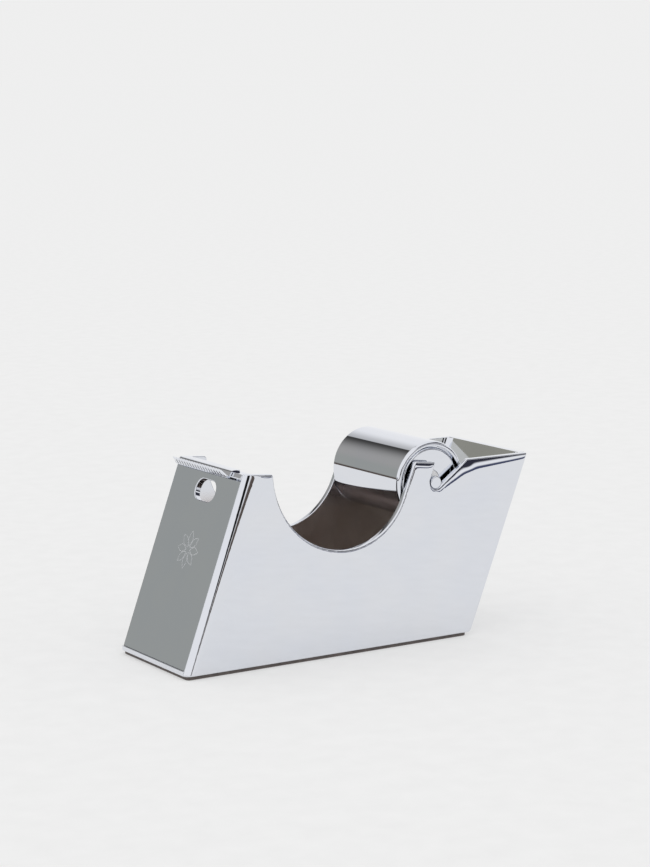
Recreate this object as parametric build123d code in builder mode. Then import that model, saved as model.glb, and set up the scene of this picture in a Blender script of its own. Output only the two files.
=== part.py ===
"""Chrome desk tape dispenser: a slanted plate housing, a toothed cutter and a lift-out hub.

Frame: millimetres, +Z up, the cutter end faces -X, the near side plate is at -Y.
The origin is under the middle of the housing, on the surface that it stands on.
"""

import os
from math import cos, radians, sin, tan

from build123d import *

os.makedirs("parts", exist_ok=True)

# ---------------------------------------------------------------- driving dimensions
WIDTH = 41.4                 # over both side plates
PLATE = 2.0                  # plate thickness, all four walls
FOOT_LENGTH = 104.7          # along the bottom edge of a side plate
TOP_FRONT = 60.0             # top of the side plates at the cutter end
TOP_REAR = 57.2              # top of the side plates at the rear
FRONT_LEAN = 19.75           # degrees from upright, the front wall
REAR_LEAN = 21.45            # degrees from upright, the rear wall
PAD = 1.2                    # thickness of the pad underneath
CORE = 25.4                  # bore of a standard one-inch tape core
AXLE_R = 1.95
AXLE_X, AXLE_Z = 27.15, 50.97
FRONT_BEVEL_RUN = 1.36       # bevel on the leaning front corners, along the side face
FRONT_BEVEL_DEPTH = 1.9      # and across the plate's thickness
REAR_BEVEL = 0.6             # bevel on the leaning rear corners
CUT_START = 1.0              # how far outside a wall a cut begins

SLOPE_F = tan(radians(FRONT_LEAN))
SLOPE_R = tan(radians(REAR_LEAN))
REAR_TOP_X = FOOT_LENGTH + (TOP_REAR - PAD) * SLOPE_R
HALF_LENGTH = REAR_TOP_X / 2
INNER = WIDTH / 2 - PLATE    # inner face of a side plate
WALL_F = PLATE / cos(radians(FRONT_LEAN))     # wall thickness measured along X
WALL_R = PLATE / cos(radians(REAR_LEAN))
FLOOR_TOP = PAD + PLATE


def front_x(z):
    """X of the outer front surface at height z."""
    return -HALF_LENGTH + (z - PAD) * SLOPE_F


def rear_x(z):
    """X of the outer rear surface at height z."""
    return -HALF_LENGTH + FOOT_LENGTH + (z - PAD) * SLOPE_R


# ---------------------------------------------------------------- side plates
RECESS_X = -5.95             # lowest point of the finger recess
RECESS_Z = 33.3
RECESS_TOP_Z = 59.2          # where the recess meets the top at the cutter end
RECESS_FRONT_R = 26.9
RECESS_REAR_R = 22.7
HORN_TIP = (27.08, 57.3)     # point of the horn that guards the axle slot
HORN_TOP_Z = 58.2
SLOT_X, SLOT_Z, SLOT_R = 27.25, 51.25, 2.3
SLOT_LEAN = 20.0             # degrees from upright, the slot's front side
SLOT_RAMP = 35.2             # degrees from level, the slot's rear ramp
SPIGOT_X, SPIGOT_Z = -40.3, 58.7
SPIGOT_R, SPIGOT_LENGTH = 0.7, 1.0
SPIGOT_GAP = 0.03            # round the spigot in its blind hole
SPIGOT_END_GAP = 0.1
RECESS_TIP_ROUND = 1.2
HORN_ROUND = 0.8
CORNER_ROUND = 1.5           # the two corners at the rear
WALL_MID_Z = 30.0            # a height about half way up the walls
SLOT_ARC_MID, REAR_ARC_MID, FRONT_ARC_MID = 240, -55, 225     # degrees, a point inside each arc

recess_front_dz = RECESS_Z + RECESS_FRONT_R - RECESS_TOP_Z
recess_front_x = RECESS_X - (RECESS_FRONT_R**2 - recess_front_dz**2) ** 0.5
recess_end_x = RECESS_X + RECESS_REAR_R * cos(radians(REAR_LEAN))
recess_end_z = RECESS_Z + RECESS_REAR_R * (1 - sin(radians(REAR_LEAN)))
horn_front_x = recess_end_x + (HORN_TOP_Z - recess_end_z) * SLOPE_R
slot_front = (
    SLOT_X - SLOT_R * cos(radians(SLOT_LEAN)),
    SLOT_Z + SLOT_R * sin(radians(SLOT_LEAN)),
)
slot_rear = (
    SLOT_X + SLOT_R * sin(radians(SLOT_RAMP)),
    SLOT_Z - SLOT_R * cos(radians(SLOT_RAMP)),
)
ramp_top_x = slot_rear[0] + (TOP_REAR - slot_rear[1]) / tan(radians(SLOT_RAMP))


def on_arc(cx, cz, r, angle):
    """A point on a circle in the side view, angle in degrees from +X."""
    return (cx + r * cos(radians(angle)), cz + r * sin(radians(angle)))


def side_plate(outer_y, inner_y):
    """One side plate between its outer and inner faces."""
    low_y = min(outer_y, inner_y)
    with BuildPart() as plate:
        with BuildSketch(Plane.XZ.offset(-low_y - PLATE)):
            with BuildLine():
                Polyline(
                    (recess_front_x, RECESS_TOP_Z),
                    (front_x(TOP_FRONT), TOP_FRONT),
                    (front_x(PAD), PAD),
                    (rear_x(PAD), PAD),
                    (rear_x(TOP_REAR), TOP_REAR),
                    (ramp_top_x, TOP_REAR),
                    slot_rear,
                )
                ThreePointArc(
                    slot_rear,
                    on_arc(SLOT_X, SLOT_Z, SLOT_R, SLOT_ARC_MID),
                    slot_front,
                )
                Polyline(
                    slot_front,
                    HORN_TIP,
                    (horn_front_x, HORN_TOP_Z),
                    (recess_end_x, recess_end_z),
                )
                ThreePointArc(
                    (recess_end_x, recess_end_z),
                    on_arc(RECESS_X, RECESS_Z + RECESS_REAR_R, RECESS_REAR_R, REAR_ARC_MID),
                    (RECESS_X, RECESS_Z),
                )
                ThreePointArc(
                    (RECESS_X, RECESS_Z),
                    on_arc(RECESS_X, RECESS_Z + RECESS_FRONT_R, RECESS_FRONT_R, FRONT_ARC_MID),
                    (recess_front_x, RECESS_TOP_Z),
                )
            make_face()
        extrude(amount=PLATE)
        corners = plate.edges().filter_by(Axis.Y)
        fillet(corners.sort_by_distance((recess_front_x, 0, RECESS_TOP_Z))[0], RECESS_TIP_ROUND)
        corners = plate.edges().filter_by(Axis.Y)
        fillet(corners.sort_by_distance((horn_front_x, 0, HORN_TOP_Z))[0], HORN_ROUND)
        corners = plate.edges().filter_by(Axis.Y)
        fillet(corners.sort_by_distance((rear_x(PAD), 0, PAD))[0], CORNER_ROUND)
        corners = plate.edges().filter_by(Axis.Y)
        fillet(corners.sort_by_distance((ramp_top_x, 0, TOP_REAR))[0], CORNER_ROUND)
        outer = plate.edges().filter_by_position(Axis.Y, outer_y - 0.01, outer_y + 0.01)
        rear_edge = outer.sort_by_distance((rear_x(WALL_MID_Z), outer_y, WALL_MID_Z))[0]
        chamfer(rear_edge, REAR_BEVEL)
        outer = plate.edges().filter_by_position(Axis.Y, outer_y - 0.01, outer_y + 0.01)
        front_edge = outer.sort_by_distance((front_x(WALL_MID_Z), outer_y, WALL_MID_Z))[0]
        side_face = plate.faces().filter_by(Axis.Y).sort_by_distance((0, outer_y, WALL_MID_Z))[0]
        chamfer(front_edge, FRONT_BEVEL_RUN, FRONT_BEVEL_DEPTH, reference=side_face)
        seat = Plane(
            origin=(SPIGOT_X, inner_y, SPIGOT_Z),
            x_dir=(1, 0, 0),
            z_dir=(0, outer_y / abs(outer_y), 0),
        )
        with BuildSketch(seat):
            Circle(SPIGOT_R + SPIGOT_GAP)
        extrude(amount=SPIGOT_LENGTH + SPIGOT_END_GAP, mode=Mode.SUBTRACT)
    return plate


near_side_plate = side_plate(-WIDTH / 2, -INNER)
near_side_plate.part.label = "near_side_plate"
export_step(near_side_plate.part, "parts/near_side_plate.step")

far_side_plate = side_plate(WIDTH / 2, INNER)
far_side_plate.part.label = "far_side_plate"
export_step(far_side_plate.part, "parts/far_side_plate.step")

# ---------------------------------------------------------------- end panels and floor
FRONT_PANEL_TOP = 57.6
WINDOW_WIDTH, WINDOW_HEIGHT = 12.0, 6.8
WINDOW_UP = 54.65            # from the bottom corner to the window's centre, along the slope
WINDOW_NEAR = 1.0            # the window's centre is this far towards the near side
PANEL_TOP_ROUND = 0.5


def side_view(points, y):
    """A closed side-view outline on the plane at the given Y."""
    with BuildSketch(Plane.XZ.offset(-y)) as outline:
        with BuildLine():
            Polyline(*points, close=True)
        make_face()
    return outline.sketch


front_plane = Plane(
    origin=(
        front_x(PAD) + WINDOW_UP * sin(radians(FRONT_LEAN)),
        0,
        PAD + WINDOW_UP * cos(radians(FRONT_LEAN)),
    ),
    x_dir=(0, -1, 0),
    z_dir=(-cos(radians(FRONT_LEAN)), 0, sin(radians(FRONT_LEAN))),
)

with BuildPart() as front_panel:
    outline = [
        (front_x(FLOOR_TOP), FLOOR_TOP),
        (front_x(FLOOR_TOP) + WALL_F, FLOOR_TOP),
        (front_x(FRONT_PANEL_TOP) + WALL_F, FRONT_PANEL_TOP),
        (front_x(FRONT_PANEL_TOP), FRONT_PANEL_TOP),
    ]
    extrude(side_view(outline, INNER), amount=2 * INNER)
    with BuildSketch(front_plane.offset(CUT_START)):
        with Locations((WINDOW_NEAR, 0)):
            SlotOverall(WINDOW_WIDTH, WINDOW_HEIGHT)
    extrude(amount=-2 * PLATE, mode=Mode.SUBTRACT)
    top_edges = front_panel.edges().filter_by(Axis.Y).group_by(Axis.Z)[-1]
    fillet(top_edges, PANEL_TOP_ROUND)
front_panel.part.label = "front_panel"
export_step(front_panel.part, "parts/front_panel.step")

with BuildPart() as rear_panel:
    outline = [
        (rear_x(FLOOR_TOP) - WALL_R, FLOOR_TOP),
        (rear_x(FLOOR_TOP), FLOOR_TOP),
        (rear_x(TOP_REAR), TOP_REAR),
        (rear_x(TOP_REAR) - WALL_R, TOP_REAR),
    ]
    extrude(side_view(outline, INNER), amount=2 * INNER)
rear_panel.part.label = "rear_panel"
export_step(rear_panel.part, "parts/rear_panel.step")

POST = 5.0                   # side of a corner post
POST_TOP = 42.0
SCREW_R = 1.5                # M3 shank
SCREW_HEAD_R = 2.8
SCREW_GAP = 0.1              # round a screw in the floor plate
SCREW_DEPTH = 4.0            # tapped depth above the floor plate
SCREW_END_GAP = 0.5          # below the end of a tapped hole
HEX_R, HEX_DEPTH = 1.15, 1.1
FRONT_SCREW_IN, REAR_SCREW_IN = 3.2, 1.7      # from the inside of the wall, at floor level
SCREW_OFF_POST = 0.6         # towards the middle, so the head clears the side plate
FLOOR_SCREW_Z = FLOOR_TOP + SCREW_DEPTH
front_screw_x = front_x(FLOOR_TOP) + WALL_F + FRONT_SCREW_IN
rear_screw_x = rear_x(FLOOR_TOP) - WALL_R - REAR_SCREW_IN
post_y = INNER - POST / 2
screw_y = post_y - SCREW_OFF_POST
floor_screw_spots = [
    (x, y) for x in (front_screw_x, rear_screw_x) for y in (-screw_y, screw_y)
]
BALLAST_LENGTH, BALLAST_WIDTH, BALLAST_HEIGHT = 46.0, 26.0, 11.0
BALLAST_X = -28.0
BALLAST_EDGE = 1.0
BALLAST_SCREW_REACH = 14.0   # from the block's middle to each screw
ballast_screw_spots = [
    (BALLAST_X - BALLAST_SCREW_REACH, 0),
    (BALLAST_X + BALLAST_SCREW_REACH, 0),
]

with BuildPart() as base_plate:
    outline = [
        (front_x(PAD), PAD),
        (rear_x(PAD), PAD),
        (rear_x(FLOOR_TOP), FLOOR_TOP),
        (front_x(FLOOR_TOP), FLOOR_TOP),
    ]
    extrude(side_view(outline, INNER), amount=2 * INNER)
    with BuildSketch(Plane.XY.offset(PAD)):
        with Locations(*floor_screw_spots, *ballast_screw_spots):
            Circle(SCREW_R + SCREW_GAP)
    extrude(amount=PLATE, mode=Mode.SUBTRACT)
    with BuildSketch(Plane.XY.offset(PAD)):
        with Locations(*floor_screw_spots, *ballast_screw_spots):
            Circle(SCREW_HEAD_R + SCREW_GAP)
    extrude(amount=SCREW_HEAD_R - SCREW_R, taper=45, mode=Mode.SUBTRACT)
base_plate.part.label = "base_plate"
export_step(base_plate.part, "parts/base_plate.step")


def corner_post(at_front, y):
    """A square post in an upright corner, leaning with its wall, tapped from below."""
    edge_x = front_x if at_front else rear_x
    shift = WALL_F if at_front else -WALL_R - POST
    screw_x = front_screw_x if at_front else rear_screw_x
    with BuildPart() as post:
        outline = [
            (edge_x(FLOOR_TOP) + shift, FLOOR_TOP),
            (edge_x(FLOOR_TOP) + shift + POST, FLOOR_TOP),
            (edge_x(POST_TOP) + shift + POST, POST_TOP),
            (edge_x(POST_TOP) + shift, POST_TOP),
        ]
        extrude(side_view(outline, y + POST / 2), amount=POST)
        with BuildSketch(Plane.XY.offset(FLOOR_TOP)):
            with Locations((screw_x, screw_y * y / abs(y))):
                Circle(SCREW_R)
        extrude(amount=FLOOR_SCREW_Z - FLOOR_TOP, mode=Mode.SUBTRACT)
    return post


corner_posts = {
    "near_front_post": (True, -post_y),
    "far_front_post": (True, post_y),
    "near_rear_post": (False, -post_y),
    "far_rear_post": (False, post_y),
}
for post_name, (post_at_front, post_side) in corner_posts.items():
    corner = corner_post(post_at_front, post_side)
    corner.part.label = post_name
    export_step(corner.part, f"parts/{post_name}.step")


def countersunk_screws(spots, tip_z):
    """Flat-headed screws pointing up, heads flush with the underside of the base plate."""
    with BuildPart() as screws:
        with BuildSketch(Plane.XY.offset(PAD)):
            with Locations(*spots):
                Circle(SCREW_HEAD_R)
        extrude(amount=SCREW_HEAD_R - SCREW_R, taper=45)
        with BuildSketch(Plane.XY.offset(PAD)):
            with Locations(*spots):
                Circle(SCREW_R)
        extrude(amount=tip_z - PAD)
        with BuildSketch(Plane.XY.offset(PAD)):
            with Locations(*spots):
                RegularPolygon(HEX_R, 6)
        extrude(amount=HEX_DEPTH, mode=Mode.SUBTRACT)
    return screws


base_screws = countersunk_screws(floor_screw_spots, FLOOR_SCREW_Z - SCREW_END_GAP)
base_screws.part.label = "base_screws"
export_step(base_screws.part, "parts/base_screws.step")

with BuildPart() as ballast_block:
    with BuildSketch(Plane.XY.offset(FLOOR_TOP)):
        with Locations((BALLAST_X, 0)):
            Rectangle(BALLAST_LENGTH, BALLAST_WIDTH)
    extrude(amount=BALLAST_HEIGHT)
    chamfer(ballast_block.edges().group_by(Axis.Z)[-1], BALLAST_EDGE)
    with BuildSketch(Plane.XY.offset(FLOOR_TOP)):
        with Locations(*ballast_screw_spots):
            Circle(SCREW_R)
    extrude(amount=FLOOR_SCREW_Z - FLOOR_TOP, mode=Mode.SUBTRACT)
ballast_block.part.label = "ballast_block"
export_step(ballast_block.part, "parts/ballast_block.step")

ballast_screws = countersunk_screws(ballast_screw_spots, FLOOR_SCREW_Z - SCREW_END_GAP)
ballast_screws.part.label = "ballast_screws"
export_step(ballast_screws.part, "parts/ballast_screws.step")

PAD_INSET = 1.0
PAD_CORNER = 1.5
with BuildPart() as base_pad:
    with BuildSketch():
        with Locations(((front_x(PAD) + rear_x(PAD)) / 2, 0)):
            RectangleRounded(FOOT_LENGTH - 2 * PAD_INSET, WIDTH - 2 * PAD_INSET, PAD_CORNER)
    extrude(amount=PAD)
base_pad.part.label = "base_pad"
export_step(base_pad.part, "parts/base_pad.step")

# ---------------------------------------------------------------- cutter
SHEET = 0.5
CUTTER_FAR, CUTTER_NEAR = 17.2, -13.4          # ends of the cutter, in Y
TEETH = 18
TOOTH_DEPTH = 1.7
TEETH_END = -11.6
END_CUT_RUN, END_CUT_STAY = 1.2, 0.6           # the slanting near end of the wing
BEND_R = 0.45                # centre line of each bend
RIVET_X = -41.4
RIVET_FROM_END = 5.0
RIVET_HEAD_R = 1.0
RIVET_TAPER = 30             # degrees, the countersink
NOTCH_OVER = 0.15            # how far the notch outlines run past the tips
WING_TIP = (-46.1, 60.75)
GUTTER = (-44.0, 58.1)
LANDING_FRONT = (-42.8, 60.0)
LANDING_REAR = (-40.1, 60.0)
RIVET_Y = (CUTTER_FAR - RIVET_FROM_END, CUTTER_NEAR + RIVET_FROM_END)
tooth_pitch = (CUTTER_FAR - TEETH_END) / TEETH
wing_length = ((WING_TIP[0] - GUTTER[0]) ** 2 + (WING_TIP[1] - GUTTER[1]) ** 2) ** 0.5
wing_plane = Plane(
    origin=(WING_TIP[0], 0, WING_TIP[1]),
    x_dir=(0, 1, 0),
    z_dir=(WING_TIP[1] - GUTTER[1], 0, GUTTER[0] - WING_TIP[0]),
)

with BuildPart() as cutter_blade:
    with BuildSketch(Plane.XZ.offset(-CUTTER_FAR)):
        with BuildLine():
            FilletPolyline(WING_TIP, GUTTER, LANDING_FRONT, LANDING_REAR, radius=BEND_R)
        trace(line_width=SHEET)
    extrude(amount=CUTTER_FAR - CUTTER_NEAR)
    with BuildSketch(wing_plane.offset(CUT_START)):
        with Locations(*[(CUTTER_FAR - tooth_pitch * n, 0) for n in range(TEETH + 1)]):
            Polygon(
                (-tooth_pitch / 2, NOTCH_OVER),
                (0, -TOOTH_DEPTH),
                (tooth_pitch / 2, NOTCH_OVER),
                align=None,
            )
        Polygon(
            (TEETH_END, NOTCH_OVER),
            (TEETH_END - END_CUT_RUN, -wing_length + END_CUT_STAY),
            (CUTTER_NEAR - CUT_START, -wing_length + END_CUT_STAY),
            (CUTTER_NEAR - CUT_START, NOTCH_OVER),
            align=None,
        )
    extrude(amount=-2 * CUT_START, mode=Mode.SUBTRACT)
    with BuildSketch(Plane.XY.offset(LANDING_REAR[1] + SHEET / 2)):
        with Locations(*[(RIVET_X, y) for y in RIVET_Y]):
            Circle(RIVET_HEAD_R)
    extrude(amount=-SHEET, taper=RIVET_TAPER, mode=Mode.SUBTRACT)
cutter_blade.part.label = "cutter_blade"
export_step(cutter_blade.part, "parts/cutter_blade.step")

CARRIER_TOP = LANDING_REAR[1] - SHEET / 2
CARRIER_REAR_X = -39.5
CARRIER_FOOT_X = -42.6
CARRIER_NOSE = (-43.2, 58.6)
CARRIER_TOP_X = -42.5
CARRIER_ROUND = 0.3
RIVET_R = 0.7
RIVET_HOLE, RIVET_SHANK = 1.8, 1.7

with BuildPart() as cutter_carrier:
    outline = [
        (CARRIER_FOOT_X, FRONT_PANEL_TOP),
        (CARRIER_REAR_X, FRONT_PANEL_TOP),
        (CARRIER_REAR_X, CARRIER_TOP),
        (CARRIER_TOP_X, CARRIER_TOP),
        CARRIER_NOSE,
    ]
    extrude(side_view(outline, INNER), amount=2 * INNER)
    fillet(cutter_carrier.edges().filter_by(Axis.Y), CARRIER_ROUND)
    with BuildSketch(Plane.XZ.offset(-INNER - SPIGOT_LENGTH)):
        with Locations((SPIGOT_X, SPIGOT_Z)):
            Circle(SPIGOT_R)
    extrude(amount=2 * (INNER + SPIGOT_LENGTH))
    with BuildSketch(Plane.XY.offset(CARRIER_TOP)):
        with Locations(*[(RIVET_X, y) for y in RIVET_Y]):
            Circle(RIVET_R)
    extrude(amount=-RIVET_HOLE, mode=Mode.SUBTRACT)
cutter_carrier.part.label = "cutter_carrier"
export_step(cutter_carrier.part, "parts/cutter_carrier.step")

with BuildPart() as cutter_rivets:
    with BuildSketch(Plane.XY.offset(CARRIER_TOP + SHEET)):
        with Locations(*[(RIVET_X, y) for y in RIVET_Y]):
            Circle(RIVET_HEAD_R)
    extrude(amount=-SHEET, taper=RIVET_TAPER)
    with BuildSketch(Plane.XY.offset(CARRIER_TOP + SHEET / 2)):
        with Locations(*[(RIVET_X, y) for y in RIVET_Y]):
            Circle(RIVET_R)
    extrude(amount=-RIVET_SHANK)
cutter_rivets.part.label = "cutter_rivets"
export_step(cutter_rivets.part, "parts/cutter_rivets.step")

# ---------------------------------------------------------------- hub and axle
HUB_R = CORE / 2
HUB_NEAR, HUB_FAR = 17.9, 18.5                 # the hub's ends, from the middle plane
SLEEVE_WALL = 1.6
NEAR_RIM_ROUND, FAR_RIM_ROUND = 1.1, 0.4
CAP_INSET = 0.5
CAP_THICKNESS = 3.0
CAP_R = HUB_R - SLEEVE_WALL
BUSH_R, BUSH_FLANGE_R = 3.5, 4.5
BUSH_FLANGE = 1.0
RUNNING = 0.04               # radial clearance of the axle in its bushes
AXLE_WAIST_R = 3.0
WAIST_GAP = 0.3              # between the axle's waist and each bush
CAP_EDGE, AXLE_EDGE = 0.9, 0.3
hub_end = {-1: HUB_NEAR, 1: HUB_FAR}
waist_half = HUB_NEAR - CAP_INSET - CAP_THICKNESS - BUSH_FLANGE - WAIST_GAP


def hub_disc(radius, y):
    """A circle about the axle on the plane at the given Y."""
    with BuildSketch(Plane.XZ.offset(-y)) as disc:
        with Locations((AXLE_X, AXLE_Z)):
            Circle(radius)
    return disc.sketch


with BuildPart() as hub_sleeve:
    extrude(hub_disc(HUB_R, HUB_FAR), amount=HUB_FAR + HUB_NEAR)
    fillet(hub_sleeve.edges().filter_by(GeomType.CIRCLE).sort_by(Axis.Y)[0], NEAR_RIM_ROUND)
    fillet(hub_sleeve.edges().filter_by(GeomType.CIRCLE).sort_by(Axis.Y)[-1], FAR_RIM_ROUND)
    extrude(hub_disc(CAP_R, HUB_FAR), amount=HUB_FAR + HUB_NEAR, mode=Mode.SUBTRACT)
hub_sleeve.part.label = "hub_sleeve"
export_step(hub_sleeve.part, "parts/hub_sleeve.step")


def hub_cap(side):
    """An end cap pressed into the sleeve; side is +1 at the far end, -1 at the near end."""
    out_y = side * (hub_end[side] - CAP_INSET)
    with BuildPart() as cap:
        extrude(hub_disc(CAP_R, out_y), amount=side * CAP_THICKNESS)
        outer_edge = cap.edges().filter_by(GeomType.CIRCLE).sort_by_distance((AXLE_X, out_y, AXLE_Z))[0]
        chamfer(outer_edge, CAP_EDGE)
        extrude(hub_disc(BUSH_R, out_y), amount=side * CAP_THICKNESS, mode=Mode.SUBTRACT)
    return cap


def axle_bush(side):
    """A flanged plastic bush pressed into a cap from inside."""
    out_y = side * (hub_end[side] - CAP_INSET)
    with BuildPart() as bush:
        extrude(hub_disc(BUSH_R, out_y), amount=side * CAP_THICKNESS)
        extrude(hub_disc(BUSH_FLANGE_R, out_y - side * CAP_THICKNESS), amount=side * BUSH_FLANGE)
        extrude(
            hub_disc(AXLE_R + RUNNING, out_y),
            amount=side * (CAP_THICKNESS + BUSH_FLANGE),
            mode=Mode.SUBTRACT,
        )
    return bush


for side_name, side in (("near", -1), ("far", 1)):
    cap = hub_cap(side)
    cap.part.label = f"{side_name}_hub_cap"
    export_step(cap.part, f"parts/{side_name}_hub_cap.step")
    bush = axle_bush(side)
    bush.part.label = f"{side_name}_bush"
    export_step(bush.part, f"parts/{side_name}_bush.step")

with BuildPart() as axle:
    extrude(hub_disc(AXLE_R, WIDTH / 2), amount=WIDTH)
    chamfer(axle.edges().filter_by(GeomType.CIRCLE), AXLE_EDGE)
    extrude(hub_disc(AXLE_WAIST_R, waist_half), amount=2 * waist_half)
axle.part.label = "axle"
export_step(axle.part, "parts/axle.step")
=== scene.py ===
"""Looks for a chrome desk tape dispenser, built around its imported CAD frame.

Metres, in the CAD's frame: +X to the rear, the cutter end at -X, near side plate at -Y, +Z up.
Outlines are written in millimetres in the side view (x, z) and scaled once, in to_metres.
"""

from math import cos, pi, radians, sin, tan

import bmesh
import bpy
import numpy as np
from mathutils import Matrix, Vector


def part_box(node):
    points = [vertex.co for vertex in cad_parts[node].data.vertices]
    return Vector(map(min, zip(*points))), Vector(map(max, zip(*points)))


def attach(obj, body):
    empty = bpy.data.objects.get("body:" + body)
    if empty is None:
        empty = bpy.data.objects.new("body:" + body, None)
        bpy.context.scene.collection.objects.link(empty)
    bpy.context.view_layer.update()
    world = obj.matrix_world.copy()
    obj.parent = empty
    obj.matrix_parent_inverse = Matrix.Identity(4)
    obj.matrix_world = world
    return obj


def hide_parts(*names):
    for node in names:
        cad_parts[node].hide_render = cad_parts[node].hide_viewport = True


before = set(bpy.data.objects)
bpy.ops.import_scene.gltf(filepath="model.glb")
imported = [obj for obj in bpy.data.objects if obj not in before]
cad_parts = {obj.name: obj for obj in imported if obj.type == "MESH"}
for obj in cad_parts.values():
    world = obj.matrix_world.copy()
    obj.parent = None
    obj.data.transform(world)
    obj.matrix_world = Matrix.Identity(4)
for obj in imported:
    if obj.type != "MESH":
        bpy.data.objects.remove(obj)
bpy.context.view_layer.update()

MM = 0.001
scene = bpy.context.scene


def to_metres(x, y, z):
    """A point given in millimetres."""
    return Vector((x * MM, y * MM, z * MM))


def box_mm(node):
    """Lowest and highest corners of a CAD node, in millimetres."""
    low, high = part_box(node)
    return low / MM, high / MM


# ---------------------------------------------------------------- camera
CAMERA_AT = (-0.38878, -0.58824, 0.17718)
CAMERA_YAW, CAMERA_PITCH, CAMERA_ROLL = radians(33.401), radians(8.958), radians(0.109)
FILM = 36.0
LENS = 94.845

forward = Vector(
    (
        sin(CAMERA_YAW) * cos(CAMERA_PITCH),
        cos(CAMERA_YAW) * cos(CAMERA_PITCH),
        -sin(CAMERA_PITCH),
    )
)
level = Vector((cos(CAMERA_YAW), -sin(CAMERA_YAW), 0))
upright = level.cross(forward)
across = level * cos(CAMERA_ROLL) + upright * sin(CAMERA_ROLL)
upward = upright * cos(CAMERA_ROLL) - level * sin(CAMERA_ROLL)
camera_data = bpy.data.cameras.new("studio_camera")
camera_data.sensor_width = FILM
camera_data.lens = LENS
camera_data.clip_start, camera_data.clip_end = 0.01, 50.0
camera = bpy.data.objects.new("studio_camera", camera_data)
scene.collection.objects.link(camera)
turn = Matrix((across, upward, -forward)).transposed()
camera.matrix_world = Matrix.Translation(CAMERA_AT) @ turn.to_4x4()
scene.camera = camera
scene.view_settings.view_transform = "Standard"


# ---------------------------------------------------------------- materials
NOISE_LOW, NOISE_HIGH = 0.3, 0.7     # nearly all of a noise texture's values lie between these


def hexa(code):
    """An sRGB hex colour as linear light."""
    parts = [int(code[i : i + 2], 16) / 255 for i in (1, 3, 5)]
    linear = [c / 12.92 if c <= 0.04045 else ((c + 0.055) / 1.055) ** 2.4 for c in parts]
    return (*linear, 1.0)


def add(tree, kind, links=None, stops=(), **settings):
    """Adds a node: settings are its properties or input values, links feed its inputs, and
    stops are the (position, hex colour) ends of a colour ramp."""
    node = tree.nodes.new("ShaderNode" + kind)
    for key, value in settings.items():
        if hasattr(node, key):
            setattr(node, key, value)
        else:
            node.inputs[key.replace("_", " ")].default_value = value
    for key, source in (links or {}).items():
        tree.links.new(source, node.inputs[key])
    for i, (position, colour) in enumerate(stops):
        element = node.color_ramp.elements[i]
        element.position, element.color = position, hexa(colour)
    return node


def surface(name):
    """A new material, its empty node tree, and the object's own coordinates in it."""
    material = bpy.data.materials.new(name)
    material.use_nodes = True
    tree = material.node_tree
    tree.nodes.clear()
    return material, tree, add(tree, "TexCoord").outputs["Object"]


def plated(name, tones, rough, buff_mm, wave, wave_mm, warp=(1, 1, 1)):
    """Electroplated metal: a tone that drifts a little, buffing haze, and a faint waviness."""
    material, tree, where = surface(name)
    stretch = add(tree, "Mapping", {"Vector": where}, Scale=warp).outputs[0]
    drift = add(tree, "TexNoise", {"Vector": where}, Scale=1 / (18 * MM), Detail=2.0)
    haze = add(tree, "TexNoise", {"Vector": stretch}, Scale=1 / (buff_mm * MM), Detail=4.0)
    swell = add(tree, "TexNoise", {"Vector": where}, Scale=1 / (wave_mm * MM), Detail=1.0)
    ends = [(NOISE_LOW, tones[0]), (NOISE_HIGH, tones[1])]
    tone = add(tree, "ValToRGB", {"Fac": drift.outputs["Fac"]}, ends)
    polish = add(
        tree,
        "MapRange",
        {"Value": haze.outputs["Fac"]},
        From_Min=NOISE_LOW,
        From_Max=NOISE_HIGH,
        To_Min=rough[0],
        To_Max=rough[1],
    )
    relief = add(tree, "Bump", {"Height": swell.outputs["Fac"]}, Strength=1.0, Distance=wave * MM)
    shader = add(
        tree,
        "BsdfPrincipled",
        {
            "Base Color": tone.outputs["Color"],
            "Roughness": polish.outputs[0],
            "Normal": relief.outputs[0],
        },
        Metallic=1.0,
    )
    add(tree, "OutputMaterial", {"Surface": shader.outputs[0]})
    return material


# Bright chrome on buffed plate: a cold mirror that only haze and a slow swell soften.
bright_chrome = plated(
    "bright_chrome_plate", ("#e4e7ee", "#e7e9ee"), (0.012, 0.03), 0.6, 0.0004, 9.0
)
# Chrome on the rear wall's inner face: a greyer, darker copy of the bright chrome with an olive
# cast, a little rougher. Its darker tone is painted shade for the wall's shadowed inner side.
painted_shade_chrome = plated("chrome_with_painted_shade", ("#cdcdc8", "#d5d5d0"), (0.05, 0.09), 0.8, 0.0004, 9.0)

# Thin chrome where the plating bath hardly reaches: brown satin deep down, bright by the rim.
THIN_BELOW, BRIGHT_ABOVE = 38.0, 49.0        # heights
inner_chrome, tree, where = surface("thin_inner_plating")
height = add(tree, "SeparateXYZ", {"Vector": where}).outputs["Z"]
reach = add(
    tree,
    "MapRange",
    {"Value": height},
    From_Min=THIN_BELOW * MM,
    From_Max=BRIGHT_ABOVE * MM,
).outputs[0]
haze = add(tree, "TexNoise", {"Vector": where}, Scale=1 / (5 * MM), Detail=3.0)
finest = add(tree, "MapRange", {"Value": reach}, To_Min=0.34, To_Max=0.03).outputs[0]
coarsest = add(tree, "MapRange", {"Value": reach}, To_Min=0.48, To_Max=0.06).outputs[0]
satin = add(
    tree,
    "MapRange",
    {"Value": haze.outputs["Fac"], "To Min": finest, "To Max": coarsest},
    From_Min=NOISE_LOW,
    From_Max=NOISE_HIGH,
)
tone = add(tree, "ValToRGB", {"Fac": reach}, [(0.0, "#d8cbc4"), (1.0, "#e2e5eb")])
shader = add(
    tree,
    "BsdfPrincipled",
    {"Base Color": tone.outputs["Color"], "Roughness": satin.outputs[0]},
    Metallic=1.0,
)
add(tree, "OutputMaterial", {"Surface": shader.outputs[0]})

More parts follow.
